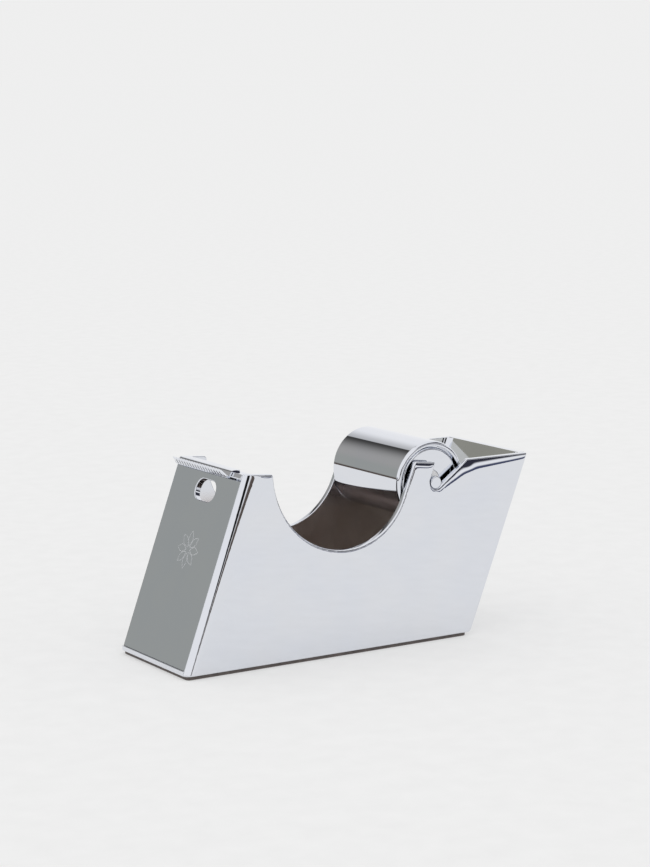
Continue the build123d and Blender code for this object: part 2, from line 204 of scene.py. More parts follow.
# Nickelled spring steel strip: a little warmer and hazier than chrome.
blade_steel = plated(
    "nickelled_spring_steel", ("#e3e6ec", "#eef0f4"), (0.04, 0.08), 0.35, 0.0004, 4.0
)
# Valleys between the teeth in dark, dull steel: painted shade standing in for the shadow in the
# stamped grooves.
valley_painted_shade = plated(
    "steel_with_painted_valley_shade", ("#55555b", "#6c6c72"), (0.4, 0.55), 0.2, 0.002, 1.0
)
# Ground bar, plated with the rest: fine lines along it.
ground_steel = plated(
    "ground_steel_bar", ("#a9a39c", "#b9b4ae"), (0.18, 0.32), 0.25, 0.001, 3.0, (1, 1, 0.08)
)
# Etched into the chrome with fine grit: a frosted, paler line.
frosted_line = plated("grit_frosted_line", ("#d3d5d8", "#e2e4e6"), (0.38, 0.55), 0.15, 0.003, 0.3)

# Natural acetal, moulded: milky white, slightly greasy sheen.
bush_plastic, tree, where = surface("natural_acetal_moulded")
mottle = add(tree, "TexNoise", {"Vector": where}, Scale=1 / (1.2 * MM), Detail=3.0)
spread = {"Fac": mottle.outputs["Fac"]}
tone = add(tree, "ValToRGB", spread, [(NOISE_LOW, "#dfdfdf"), (NOISE_HIGH, "#ebebec")])
sheen = add(tree, "MapRange", {"Value": mottle.outputs["Fac"]}, To_Min=0.28, To_Max=0.45)
shader = add(
    tree,
    "BsdfPrincipled",
    {"Base Color": tone.outputs["Color"], "Roughness": sheen.outputs[0]},
    IOR=1.48,
)
add(tree, "OutputMaterial", {"Surface": shader.outputs[0]})

# Blacked sand-cast iron: dull, with casting grain about 0.8 mm across.
cast_iron, tree, where = surface("blacked_cast_iron")
grain = add(tree, "TexNoise", {"Vector": where}, Scale=1 / (0.8 * MM), Detail=6.0)
pits = add(tree, "TexVoronoi", {"Vector": where}, Scale=1 / (1.4 * MM))
relief = add(
    tree, "Bump", {"Height": grain.outputs["Fac"]}, Strength=0.7, Distance=0.12 * MM
)
spread = {"Fac": grain.outputs["Fac"]}
tone = add(tree, "ValToRGB", spread, [(NOISE_LOW, "#1d1b1a"), (NOISE_HIGH, "#35322f")])
crust = add(tree, "MapRange", {"Value": pits.outputs["Distance"]}, To_Min=0.5, To_Max=0.8)
shader = add(
    tree,
    "BsdfPrincipled",
    {
        "Base Color": tone.outputs["Color"],
        "Roughness": crust.outputs[0],
        "Normal": relief.outputs[0],
    },
    Metallic=0.6,
)
add(tree, "OutputMaterial", {"Surface": shader.outputs[0]})

# Cut rubber sheet: dark brown grey, dusty at its skin, fine calender grain.
pad_rubber, tree, where = surface("dark_rubber_sheet")
dust = add(tree, "TexNoise", {"Vector": where}, Scale=1 / (2.5 * MM), Detail=5.0)
grain = add(tree, "TexNoise", {"Vector": where}, Scale=1 / (0.25 * MM), Detail=2.0)
relief = add(
    tree, "Bump", {"Height": grain.outputs["Fac"]}, Strength=0.5, Distance=0.03 * MM
)
tone = add(
    tree, "ValToRGB", {"Fac": dust.outputs["Fac"]}, [(0.35, "#4b4442"), (0.75, "#635a56")]
)
dusty = add(tree, "MapRange", {"Value": dust.outputs["Fac"]}, To_Min=0.55, To_Max=0.8)
shader = add(
    tree,
    "BsdfPrincipled",
    {
        "Base Color": tone.outputs["Color"],
        "Roughness": dusty.outputs[0],
        "Normal": relief.outputs[0],
    },
    IOR=1.52,
)
add(tree, "OutputMaterial", {"Surface": shader.outputs[0]})


# ---------------------------------------------------------------- making meshes
def new_piece(name, bm, materials, sharp=35.0, weighted=True):
    """Turns a closed bmesh into a smooth-shaded piece whose flat faces stay flat."""
    bm.normal_update()
    bmesh.ops.recalc_face_normals(bm, faces=bm.faces)
    mesh = bpy.data.meshes.new(name)
    bm.to_mesh(mesh)
    bm.free()
    mesh.polygons.foreach_set("use_smooth", [True] * len(mesh.polygons))
    mesh.set_sharp_from_angle(angle=radians(sharp))
    for material in materials:
        mesh.materials.append(material)
    piece = bpy.data.objects.new(name, mesh)
    scene.collection.objects.link(piece)
    if weighted:
        flatter = piece.modifiers.new("flat_faces_stay_flat", "WEIGHTED_NORMAL")
        flatter.keep_sharp = True
        flatter.weight = 100
    return piece


def place(piece, body, slot, *nodes):
    """Fixes a piece to its body and hides the CAD nodes it stands for; slot, the name of its
    finish, is not used.
    """
    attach(piece, body)
    if nodes:
        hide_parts(*nodes)
    return piece


def arc(cx, cz, radius, start, end, count):
    """Points on a circle, angles in degrees, both ends included."""
    steps = [start + (end - start) * i / count for i in range(count + 1)]
    return [(cx + radius * cos(radians(a)), cz + radius * sin(radians(a))) for a in steps]


def round_corners(corners, count=5):
    """Closed outline from (x, z, radius) corners: each corner with a radius becomes a short arc."""
    points = []
    total = len(corners)
    for i, (x, z, radius) in enumerate(corners):
        if not radius:
            points.append((x, z))
            continue
        here = Vector((x, z))
        before = Vector(corners[i - 1][:2]) - here
        after = Vector(corners[(i + 1) % total][:2]) - here
        turn_angle = pi - before.angle(after)
        reach = radius * tan(turn_angle / 2)
        reach = min(reach, before.length * 0.95, after.length * 0.95)
        start = here + before.normalized() * reach
        end = here + after.normalized() * reach
        for step in range(count + 1):
            t = step / count
            p = start * (1 - t) ** 2 + here * 2 * t * (1 - t) + end * t**2
            points.append((p.x, p.y))
    return points


def inset(points, distance, extra=0.0, shares=()):
    """A closed outline moved to its left by a distance, and by each point's share of the extra."""
    moved = []
    total = len(points)
    for i, point in enumerate(points):
        a = Vector(point) - Vector(points[i - 1])
        b = Vector(points[(i + 1) % total]) - Vector(point)
        n1 = Vector((-a.y, a.x)).normalized()
        n2 = Vector((-b.y, b.x)).normalized()
        middle = (n1 + n2).normalized()
        reach = distance + (extra * shares[i] if shares else 0)
        moved.append(tuple(Vector(point) + middle * (reach / max(middle.dot(n1), 0.4))))
    return moved


def edge_steps(radius, count=5):
    """(inset, depth) pairs of a quarter-round edge, from the face to the wall."""
    angles = [pi / 2 * i / count for i in range(count + 1)]
    return [(radius * (1 - sin(a)), radius * (1 - cos(a))) for a in angles]


def loops_of(points, thickness, first_round, last_round, lay):
    """Loops through a plate's edge: round, wall, round. lay turns (u, v, depth) into a point."""
    loops = []
    for back, depth in edge_steps(first_round):
        loops.append([lay(u, v, depth) for u, v in inset(points, back)])
    for back, depth in reversed(edge_steps(last_round)):
        loops.append([lay(u, v, thickness - depth) for u, v in inset(points, back)])
    return loops


def skin(bm, loops, close_ring=False):
    """Joins a run of loops with quads and returns their vertices."""
    rings = [[bm.verts.new(p) for p in loop] for loop in loops]
    pairs = list(zip(rings, rings[1:]))
    if close_ring:
        pairs.append((rings[-1], rings[0]))
    for one, two in pairs:
        for i in range(len(one)):
            j = (i + 1) % len(one)
            bm.faces.new((one[i], one[j], two[j], two[i]))
    return rings


def cap(bm, rings):
    """Closes a flat face bounded by one loop, or by an outer loop and holes."""
    if len(rings) == 1:
        bm.faces.new(rings[0])
        return
    edges = []
    for ring in rings:
        for i, vert in enumerate(ring):
            edges.append(bm.edges.get((vert, ring[(i + 1) % len(ring)])))
    bmesh.ops.triangle_fill(bm, use_beauty=True, edges=edges)


def solid(bm, loops):
    """Joins a run of loops and closes both of its ends."""
    rings = skin(bm, loops)
    cap(bm, [rings[0]])
    cap(bm, [rings[-1]])


def cut_grid(bm, spacing, axes):
    """Cuts a mesh along evenly spaced planes, so that a soft form has points to move."""
    for axis in axes:
        values = [v.co[axis] for v in bm.verts]
        low, high = min(values), max(values)
        count = int((high - low) / spacing)
        for i in range(1, count + 1):
            spot, normal = Vector(), Vector()
            spot[axis] = low + i * (high - low) / (count + 1)
            normal[axis] = 1
            bmesh.ops.bisect_plane(
                bm, geom=bm.verts[:] + bm.edges[:] + bm.faces[:], plane_co=spot, plane_no=normal
            )


def turned(bm, profile, centre, hollow=True, count=192):
    """Turns (radius, y) points about a crosswise axis: a ring, or a solid with flat ends."""
    angles = [2 * pi * i / count for i in range(count)]
    loops = [
        [to_metres(centre[0] + r * cos(a), y, centre[1] + r * sin(a)) for a in angles]
        for r, y in profile
    ]
    if hollow:
        skin(bm, loops, close_ring=True)
    else:
        solid(bm, loops)


# ---------------------------------------------------------------- sizes read from the frame
plate_low, plate_high = box_mm("near_side_plate")
_, front_high = box_mm("front_panel")
rear_low, rear_high = box_mm("rear_panel")
base_low, base_high = box_mm("base_plate")
pad_low, pad_high = box_mm("base_pad")
sleeve_low, sleeve_high = box_mm("hub_sleeve")
_, axle_high = box_mm("axle")
HALF_WIDTH = -plate_low.y
INNER = -plate_high.y
PLATE = HALF_WIDTH - INNER
FOOT_Z = plate_low.z
TOP_FRONT = plate_high.z
TOP_REAR = rear_high.z
FRONT_X, REAR_X = plate_low.x, plate_high.x
FRONT_LEAN, REAR_LEAN = 19.75, 21.45      # of the end walls, degrees from upright
SLOPE_F = tan(radians(FRONT_LEAN))
SLOPE_R = tan(radians(REAR_LEAN))
HUB_X = (sleeve_low.x + sleeve_high.x) / 2
HUB_Z = (sleeve_low.z + sleeve_high.z) / 2
HUB_R = (sleeve_high.z - sleeve_low.z) / 2


def front_x(z):
    """Outer front surface at height z."""
    return FRONT_X + (z - FOOT_Z) * SLOPE_F


def rear_x(z):
    """Outer rear surface at height z."""
    return REAR_X - (TOP_REAR - z) * SLOPE_R


# ---------------------------------------------------------------- side plates
RECESS_LOW = (-5.95, 33.3)
RECESS_FRONT_R, RECESS_REAR_R = 26.9, 22.7
RECESS_TOP = (-32.83, 59.2)
RECESS_END = (15.18, 47.70)
RECESS_TURN = -177.87        # where the front curve meets the plate's top, degrees
HORN_FRONT, HORN_TIP = (19.31, 58.2), (27.08, 57.3)
SLOT_FRONT, SLOT_REAR = (25.09, 52.04), (28.58, 49.37)
SLOT_CENTRE, SLOT_R = (27.25, 51.25), 2.3
SLOT_FROM, SLOT_TO = -54.8, -200.0       # ends of the slot's round floor, degrees
RAMP_TOP = (39.68, TOP_REAR)

front_bottom = (front_x(FOOT_Z), FOOT_Z)
front_top = (front_x(TOP_FRONT), TOP_FRONT)
rear_bottom = (rear_x(FOOT_Z), FOOT_Z)
rear_top = (REAR_X, TOP_REAR)
slot_arc = arc(*SLOT_CENTRE, SLOT_R, SLOT_FROM, SLOT_TO, 14)
recess_x, recess_z = RECESS_LOW
recess_rear_arc = arc(
    recess_x, recess_z + RECESS_REAR_R, RECESS_REAR_R, -REAR_LEAN, -90, 34
)
recess_front_arc = arc(
    recess_x, recess_z + RECESS_FRONT_R, RECESS_FRONT_R, -90, RECESS_TURN, 50
)
SHARP, SOFT = 0.45, 1.5      # outline radii: a corner that reads as sharp, and a rounded one
HORN_ROUND, RECESS_ROUND = 0.8, 1.2
plate_corners = (
    [(*front_bottom, SHARP), (*rear_bottom, SOFT), (*rear_top, SHARP), (*RAMP_TOP, SOFT)]
    + [(x, z, 0) for x, z in slot_arc]
    + [(*HORN_TIP, SHARP), (*HORN_FRONT, HORN_ROUND)]
    + [(x, z, 0) for x, z in recess_rear_arc]
    + [(x, z, 0) for x, z in recess_front_arc[1:-1]]
    + [(*RECESS_TOP, RECESS_ROUND), (*front_top, SHARP)]
)
plate_outline = round_corners(plate_corners)
EDGE_ROUND, INNER_ROUND = 0.4, 0.25      # of the plate's outer and inner edges
LIP_STEPS = (0.25, 0.5, 0.75, 1.05)      # extra rings, for a smooth lip round the curves
LIP_FADE, LIP_LEAST = 3.0, 0.05          # the rings close up within this of a sharp corner
sharp_corners = [Vector(c[:2]) for c in plate_corners if c[2]]
lip_shares = [
    min(max(min((Vector(p) - c).length for c in sharp_corners) / LIP_FADE, LIP_LEAST), 1.0)
    for p in plate_outline
]

# Buffing has rolled the outer faces over towards their edges. Each run is a chain of points with
# the width and depth of its roll, in millimetres.
rolls = [
    [(*front_bottom, 2.8, 0.94), (*front_top, 7.0, 1.31)],
    [(*front_top, 1.6, 0.22), (*RECESS_TOP, 1.6, 0.22)],
    [(x, z, 1.3, 0.19) for x, z in recess_front_arc],
    [(x, z, 1.3, 0.19) for x, z in recess_rear_arc],
    [(*RECESS_END, 1.3, 0.19), (*HORN_FRONT, 2.8, 0.40)],
    [(*HORN_FRONT, 2.6, 0.40), (*HORN_TIP, 2.6, 0.40)],
    [(*HORN_TIP, 2.2, 0.32), (*SLOT_FRONT, 1.4, 0.18)],
    [(x, z, 1.6, 0.20) for x, z in slot_arc],
    [(*SLOT_REAR, 2.6, 0.30), (*RAMP_TOP, 6.2, 0.66)],
    [(*RAMP_TOP, 6.2, 0.66), (*rear_top, 3.0, 0.30)],
    [(*rear_top, 1.2, 0.10), (*rear_bottom, 1.2, 0.10)],
]
ROLL_BLEND = 3.0             # how sharply one roll takes over from the next
BEVEL_WIDTH, BEVEL_DEPTH, BEVEL_SOFT = 1.365, 1.9, 0.2
BEVEL_CUTS = (               # lines of points along the front edge, closest where it turns most
    (0.6, 0.85, 1.05, 1.2, 1.35, 1.5, 1.65, 1.85)
    + (2.1, 2.4, 2.7, 3.0, 3.4, 3.8, 4.3, 5.0, 6.0)
)
GRID = 0.75                  # spacing of the points that carry the rolls
ON_FACE = 0.02               # a face within this of the inner plane is part of it
inward = np.array(           # square to the front edge and into the plate, in (x, z)
    (cos(radians(FRONT_LEAN)), -sin(radians(FRONT_LEAN)))
)


def roll_depth(xz):
    """How deep the buffed roll-over is at each (x, z), in millimetres."""
    total = np.zeros(len(xz))
    for chain in rolls:
        deepest = np.zeros(len(xz))
        for (x1, z1, w1, h1), (x2, z2, w2, h2) in zip(chain, chain[1:]):
            start, run = np.array((x1, z1)), np.array((x2 - x1, z2 - z1))
            t = np.clip((xz - start) @ run / (run @ run), 0, 1)
            gap = np.linalg.norm(xz - start - t[:, None] * run, axis=1)
            width, height = w1 + (w2 - w1) * t, h1 + (h2 - h1) * t
            deepest = np.maximum(deepest, height * np.clip(1 - gap / width, 0, 1) ** 2)
        total += deepest**ROLL_BLEND
    reach = (xz - np.array(front_bottom)) @ inward
    (*_, low_roll), (*_, high_roll) = rolls[0]
    up = (xz[:, 1] - FOOT_Z) / (TOP_FRONT - FOOT_Z)
    rest = BEVEL_DEPTH - low_roll - (high_roll - low_roll) * up
    bevel = rest * (1 - reach / BEVEL_WIDTH)
    return total ** (1 / ROLL_BLEND) + (bevel + np.sqrt(bevel**2 + BEVEL_SOFT**2)) / 2


def side_plate():
    """The near side plate as a bmesh, buffed and bevelled on its outer face."""
    bm = bmesh.new()

    def lay(u, v, depth):
        return to_metres(u, -HALF_WIDTH + depth, v)

    loops = loops_of(plate_outline, PLATE, EDGE_ROUND, INNER_ROUND, lay)
    for extra in LIP_STEPS:
        line = inset(plate_outline, EDGE_ROUND, extra, lip_shares)
        loops.insert(0, [lay(u, v, 0) for u, v in line])
    solid(bm, loops)
    cut_grid(bm, GRID * MM, (0, 2))
    for reach in BEVEL_CUTS:
        x, z = np.array(front_bottom) + inward * reach
        bmesh.ops.bisect_plane(
            bm,
            geom=bm.verts[:] + bm.edges[:] + bm.faces[:],
            plane_co=to_metres(x, 0, z),
            plane_no=(inward[0], 0, inward[1]),
        )
    co = np.array([v.co for v in bm.verts]) / MM
    share = 1 - (co[:, 1] + HALF_WIDTH) / PLATE      # all of it outside, none at the inner face
    for vert, move in zip(bm.verts, roll_depth(co[:, [0, 2]]) * share):
        vert.co.y += move * MM
    bm.normal_update()
    for face in bm.faces:
        off_plane = abs(face.calc_center_median().y + INNER * MM)
        face.material_index = int(off_plane < ON_FACE * MM)
    return bm


near_mesh = side_plate()
far_mesh = near_mesh.copy()
for vert in far_mesh.verts:
    vert.co.y = -vert.co.y
plate_finishes = (bright_chrome, inner_chrome)
for side_name, mesh_of_side in (("near", near_mesh), ("far", far_mesh)):
    plate = new_piece(f"{side_name}_plate_buffed", mesh_of_side, plate_finishes, weighted=False)
    place(plate, "housing", "polished_chrome", f"{side_name}_side_plate")


# ---------------------------------------------------------------- end walls and floor
WINDOW_W, WINDOW_H = 11.4, 6.2     # the hole itself; its rounded edge is wider
WINDOW_Y, WINDOW_Z = -1.0, 52.635
WINDOW_OUT, WINDOW_IN = 0.3, 0.2   # roundness of its outer and inner edges
WALL_BOTTOM = 2.8            # the front wall reaches a little over the floor sheet's edge
WALL_EDGE, WALL_TOP = 0.05, 0.1    # roundness of a wall's edges and of its top corners
GAP = 0.02                   # so that faces of neighbours don't share a plane


def wall(name, x_at, lean, low_z, high_z, inner_finish, into, window=None):
    """A wall between the side plates, leaning by so many degrees, perhaps with an oblong window.
    into is the way to the inside along X."""
    half = INNER - GAP
    lean = radians(lean)
    thick = PLATE / cos(lean)

    def lay(u, v, depth):
        return to_metres(x_at(v) + into * depth / cos(lean), u, v)

    def lay_hole(u, v, depth):
        drop = into * depth * sin(lean)
        return to_metres(x_at(v - drop) + into * depth / cos(lean), u, v - drop)

    bm = bmesh.new()
    low = [(-half, low_z, WALL_EDGE), (half, low_z, WALL_EDGE)]
    high = [(half, high_z, WALL_TOP), (-half, high_z, WALL_TOP)]
    outline = round_corners(low + high, 2)
    outer = skin(bm, loops_of(outline, PLATE, WALL_EDGE, WALL_EDGE, lay))
    first, last = [outer[0]], [outer[-1]]
    if window:
        width, height, mid_y, mid_z = window
        straight = (width - height) / 2
        run = arc(mid_y + straight, mid_z, height / 2, 90, -90, 28)
        run += arc(mid_y - straight, mid_z, height / 2, -90, -270, 28)
        hole = skin(bm, loops_of(run, PLATE, WINDOW_OUT, WINDOW_IN, lay_hole))
        first.append(hole[0])
        last.append(hole[-1])
    cap(bm, first)
    cap(bm, last)
    bm.normal_update()
    for face in bm.faces:
        centre = face.calc_center_median() / MM
        deep = abs(centre.x - x_at(centre.z)) > thick * 0.98
        face.material_index = 1 if deep else 0
    return new_piece(name, bm, (bright_chrome, inner_finish))


place(
    wall("front_wall", front_x, FRONT_LEAN, WALL_BOTTOM, front_high.z, inner_chrome, 1,
         (WINDOW_W, WINDOW_H, WINDOW_Y, WINDOW_Z)),
    "housing",
    "polished_chrome",
    "front_panel",
)
# The rear wall's inner face takes the darker chrome copy: painted shade.
place(
    wall("rear_wall", rear_x, REAR_LEAN, rear_low.z, rear_high.z, painted_shade_chrome, -1),
    "housing",
    "polished_chrome",
    "rear_panel",
)

# Solder run up the two rear corners and scraped hollow, above the posts.
FILLET_R, FILLET_LOW, FILLET_HIGH = 2.5, 42.0, 57.1
rear_inner = PLATE / cos(radians(REAR_LEAN))
for name, side in (("near_corner_fillet", -1), ("far_corner_fillet", 1)):
    bm = bmesh.new()
    loops = []
    for z in (FILLET_LOW, FILLET_HIGH):
        x = rear_x(z) - rear_inner
        hollow = arc(x - FILLET_R, INNER - FILLET_R, FILLET_R, 0, 90, 12)
        section = [(x, INNER)] + hollow[::-1]
        loops.append([to_metres(u, side * v, z) for u, v in section])
    solid(bm, loops)
    place(new_piece(name, bm, (bright_chrome,)), "housing", "polished_chrome")


def bar(name, section, y_from, y_to, materials, rounding, body, slot, *nodes):
    """A straight bar with the given side-view section, its ends softly rounded."""
    bm = bmesh.new()

    def lay(u, v, depth):
        return to_metres(u, y_from + depth, v)

    solid(bm, loops_of(section, y_to - y_from, rounding, rounding, lay))
    return place(new_piece(name, bm, materials), body, slot, *nodes)


# The floor's front edge shows as a strip under the front wall. Behind it the sheet steps up, and
# the step stays this far behind the wall's outer face, at its top and at its foot.
STEP_TOP, STEP_FOOT = 0.6, 0.3
FLOOR_ROUND, LIP_ROUND, STEP_ROUND = 0.25, 0.15, 0.05
FLOOR_BACK = 0.05            # the strip stands back from the wall, and clear below it
lip_x, lip_z = base_low.x + FLOOR_BACK, WALL_BOTTOM - FLOOR_BACK
floor_section = round_corners(
    [
        (lip_x, base_low.z, FLOOR_ROUND),
        (rear_x(base_low.z), base_low.z, FLOOR_ROUND),
        (rear_x(base_high.z), base_high.z, FLOOR_ROUND),
        (front_x(base_high.z) + STEP_TOP, base_high.z, STEP_ROUND),
        (front_x(WALL_BOTTOM) + STEP_FOOT, lip_z, STEP_ROUND),
        (lip_x, lip_z, LIP_ROUND),
    ]
)
bar("floor_sheet", floor_section, -INNER + GAP, INNER - GAP, (bright_chrome,), WALL_EDGE,
    "housing", "polished_chrome", "base_plate")

# The pad is cut from sheet: straight walls, edges only just broken.
PAD_CORNER, PAD_UNDER, PAD_OVER = 1.5, 0.15, 0.1
pad_corners = [
    (pad_low.x, pad_low.y, PAD_CORNER),
    (pad_high.x, pad_low.y, PAD_CORNER),
    (pad_high.x, pad_high.y, PAD_CORNER),
    (pad_low.x, pad_high.y, PAD_CORNER),
]


def lay_pad(u, v, depth):
    """A point of the pad, at a depth counted up from the desk."""
    return to_metres(u, v, pad_low.z + depth)


bm = bmesh.new()
solid(
    bm,
    loops_of(round_corners(pad_corners), pad_high.z - pad_low.z, PAD_UNDER, PAD_OVER, lay_pad),
)
place(new_piece("foot_pad", bm, (pad_rubber,)), "housing", "pad_rubber", "base_pad")

# ---------------------------------------------------------------- cutter
blade_low, blade_high = box_mm("cutter_blade")
SHEET = 0.5
TEETH = 18
TOOTH_DEPTH = 1.7
TEETH_END = -11.6
WING_TIP, GUTTER = Vector((-46.1, 60.75)), Vector((-44.0, 58.1))
LANDING_FRONT, LANDING_REAR = Vector((-42.8, 60.0)), Vector((-40.1, 60.0))
BEND = 0.5                   # from a corner to the start of its bend
FLUTE, FLUTE_LENGTH = 0.32, 2.8    # the valleys between the teeth are pressed back
VALLEY = 0.22                # half the width of the valley painted dark as shade
VALLEY_FOOT = 0.4            # how far over the gutter the painted valley shade ends
FLANK_CUT, FLANK_FLUTE = 0.72, 0.6     # at a valley's flanks, as shares of its root's
ROOT_HALF, TIP_HALF = 0.1, 0.05        # half the thickness at a root and at a tooth's tip
pitch = (blade_high.y - TEETH_END) / TEETH
wing = (GUTTER - WING_TIP).normalized()
wing_back = Vector((-wing.y, wing.x))


def blade_path(wing_cut, flute):
    """Middle line of the bent strip: wing_cut shortens the toothed wing, flute presses it back."""
    path = []
    for share in (0, 0.15, 0.4, 0.7, 1):
        run = wing_cut + (FLUTE_LENGTH - wing_cut) * share
        path.append(WING_TIP + wing * run + wing_back * flute * (1 - (run / FLUTE_LENGTH) ** 2))
    corners = (WING_TIP, GUTTER, LANDING_FRONT, LANDING_REAR)
    for a, b, c in zip(corners, corners[1:], corners[2:]):
        start = b + (a - b).normalized() * BEND
        end = b + (c - b).normalized() * BEND
        for t in (0.05, 0.3, 0.5, 0.7, 0.95):
            path.append(start * (1 - t) ** 2 + b * 2 * t * (1 - t) + end * t**2)
    return path + [LANDING_REAR]


def blade_section(wing_cut, flute, edge):
    """Closed section of the strip, from the wing tip round to the landing and back underneath."""
    path = blade_path(wing_cut, flute)
    normals = []
    for i in range(len(path)):
        run = path[min(i + 1, len(path) - 1)] - path[max(i - 1, 0)]
        normals.append(Vector((-run.y, run.x)).normalized())
    halves = [edge] + [SHEET / 2] * (len(path) - 1)
    over = [p + n * h for p, n, h in zip(path, normals, halves)]
    under = [p - n * h for p, n, h in zip(path, normals, halves)]
    return over + under[::-1]


# Each station across the strip: its y, how far the wing is cut back, flute depth, half thickness.
flank = (TOOTH_DEPTH * FLANK_CUT, FLUTE * FLANK_FLUTE, ROOT_HALF)
stations = []
for tooth in range(TEETH):
    root_y = blade_high.y - pitch * tooth
    if tooth:
        stations.append((root_y + VALLEY, *flank))
    stations.append((root_y, TOOTH_DEPTH, FLUTE, ROOT_HALF))
    stations.append((root_y - VALLEY, *flank))
    stations.append((root_y - pitch / 2, 0.0, 0.0, TIP_HALF))
# Beyond the teeth the wing is cut away in a slope down to the plain near end.
stations += [
    (TEETH_END, TOOTH_DEPTH, FLUTE, ROOT_HALF),
    (TEETH_END - 0.1, 0.4, 0.0, 0.2),
    (TEETH_END - 1.2, 2.3, 0.0, SHEET / 2),
    (blade_low.y, 2.4, 0.0, SHEET / 2),
]
bm = bmesh.new()
loops = []
for y, *shape in stations:
    loops.append([to_metres(p.x, y, p.y) for p in blade_section(*shape)])
solid(bm, loops)
wing_edge = to_metres(0, 0, GUTTER.y).z + VALLEY_FOOT * MM
# Valley faces on the toothed wing take the dark second material: painted shade.
for face in bm.faces:
    centre = face.calc_center_median()
    off_root = (blade_high.y - centre.y / MM + VALLEY) % pitch
    in_painted_valley_shade = off_root < 2 * VALLEY and centre.y > (TEETH_END - VALLEY) * MM
    face.material_index = int(in_painted_valley_shade and centre.z > wing_edge and centre.x < GUTTER.x * MM)
toothed_strip = new_piece("toothed_strip", bm, (blade_steel, valley_painted_shade), sharp=25.0)
place(toothed_strip, "housing", "blade_steel", "cutter_blade")

# The bar under the landing, with a blunt nose that fills the strip's bend.
CARRIER_ROUND, CARRIER_ENDS = 0.3, 0.1
carrier_corners = [(-42.6, 57.6), (-39.5, 57.6), (-39.5, 59.73), (-42.5, 59.73), (-43.2, 58.6)]
carrier_section = round_corners([(x, z, CARRIER_ROUND) for x, z in carrier_corners])
bar("strip_carrier", carrier_section, -INNER + GAP, INNER - GAP, (bright_chrome,),
    CARRIER_ENDS, "housing", "polished_chrome", "cutter_carrier")

# ---------------------------------------------------------------- hub
BORE_R, CAP_R = 11.1, 10.7
NEAR_RIM, FAR_RIM, BORE_EDGE = 1.1, 0.4, 0.25     # roundness of the sleeve's edges
GROOVE_DEPTH = 1.5           # between the sleeve and each cap
CAP_EDGE = 0.9               # roundness of a cap's rim
BUSH_HOLE, HOLE_CHAMFER, HOLE_DEPTH = 3.52, 0.18, 0.15


def circle_steps(cr, cy, radius, start, end, count=8):
    """Profile points on a small arc, as (radius, y)."""
    return [
        (cr + radius * cos(radians(start + (end - start) * i / count)),
         cy + radius * sin(radians(start + (end - start) * i / count)))
        for i in range(count + 1)
    ]


sleeve_profile = (
    circle_steps(HUB_R - FAR_RIM, sleeve_high.y - FAR_RIM, FAR_RIM, 0, 90)
    + circle_steps(BORE_R + BORE_EDGE, sleeve_high.y - BORE_EDGE, BORE_EDGE, 90, 180, 4)
    + circle_steps(BORE_R + BORE_EDGE, sleeve_low.y + BORE_EDGE, BORE_EDGE, 180, 270, 4)
    + circle_steps(HUB_R - NEAR_RIM, sleeve_low.y + NEAR_RIM, NEAR_RIM, 270, 360, 12)
)
hub_centre = (HUB_X, HUB_Z)
bm = bmesh.new()
turned(bm, sleeve_profile, hub_centre)
place(new_piece("drum_sleeve", bm, (bright_chrome,)), "hub", "polished_chrome", "hub_sleeve")

for side_name, side in (("near", -1), ("far", 1)):
    ends = [abs(corner.y) for corner in box_mm(f"{side_name}_hub_cap")]
    outer, inner = max(ends), min(ends)
    profile = (
        [(BORE_R - GAP, outer - GROOVE_DEPTH), (CAP_R, outer - GROOVE_DEPTH)]
        + circle_steps(CAP_R - CAP_EDGE, outer - CAP_EDGE, CAP_EDGE, 0, 90)
        + [(BUSH_HOLE + HOLE_CHAMFER, outer), (BUSH_HOLE, outer - HOLE_DEPTH)]
        + [(BUSH_HOLE, inner), (BORE_R - GAP, inner)]
    )
    bm = bmesh.new()
    turned(bm, [(r, side * y) for r, y in profile], hub_centre)
    place(new_piece(f"drum_cap_{side_name}", bm, (bright_chrome,)), "hub", "polished_chrome",
          f"{side_name}_hub_cap")

# Flush rivets, their heads a hair proud of the landing.
rivet_low, rivet_high = box_mm("cutter_rivets")
RIVET_HEAD_R, RIVET_SHANK_R, RIVET_PROUD = 1.0, 0.7, 0.04
rivet_x, landing_z = (rivet_low.x + rivet_high.x) / 2, rivet_high.z
rivet_profile = [            # (radius, height over the landing), domed head first
    (0.5, RIVET_PROUD),
    (0.85, RIVET_PROUD * 0.8),
    (0.97, RIVET_PROUD * 0.3),
    (RIVET_HEAD_R, -0.02),
    (RIVET_SHANK_R, -0.5),
    (RIVET_SHANK_R, rivet_low.z - landing_z),
]
rivet_angles = [2 * pi * i / 32 for i in range(32)]
for number, y in enumerate((rivet_high.y - RIVET_HEAD_R, rivet_low.y + RIVET_HEAD_R), 1):
    loops = []
    for r, up in rivet_profile:
        ring = [(rivet_x + r * cos(a), y + r * sin(a)) for a in rivet_angles]
        loops.append([to_metres(u, v, landing_z + up) for u, v in ring])
    bm = bmesh.new()
    solid(bm, loops)
    rivet = new_piece(f"rivet_{number}", bm, (blade_steel,))
    place(rivet, "housing", "blade_steel", "cutter_rivets")

# Pieces that keep their CAD shape, with their own finish.
for node, material in (
    ("near_bush", bush_plastic),
    ("far_bush", bush_plastic),
    ("near_front_post", ground_steel),
    ("far_front_post", ground_steel),
    ("near_rear_post", ground_steel),
    ("far_rear_post", ground_steel),
    ("base_screws", ground_steel),
    ("ballast_screws", ground_steel),
    ("ballast_block", cast_iron),
):
    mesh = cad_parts[node].data
    mesh.materials.clear()
    mesh.materials.append(material)

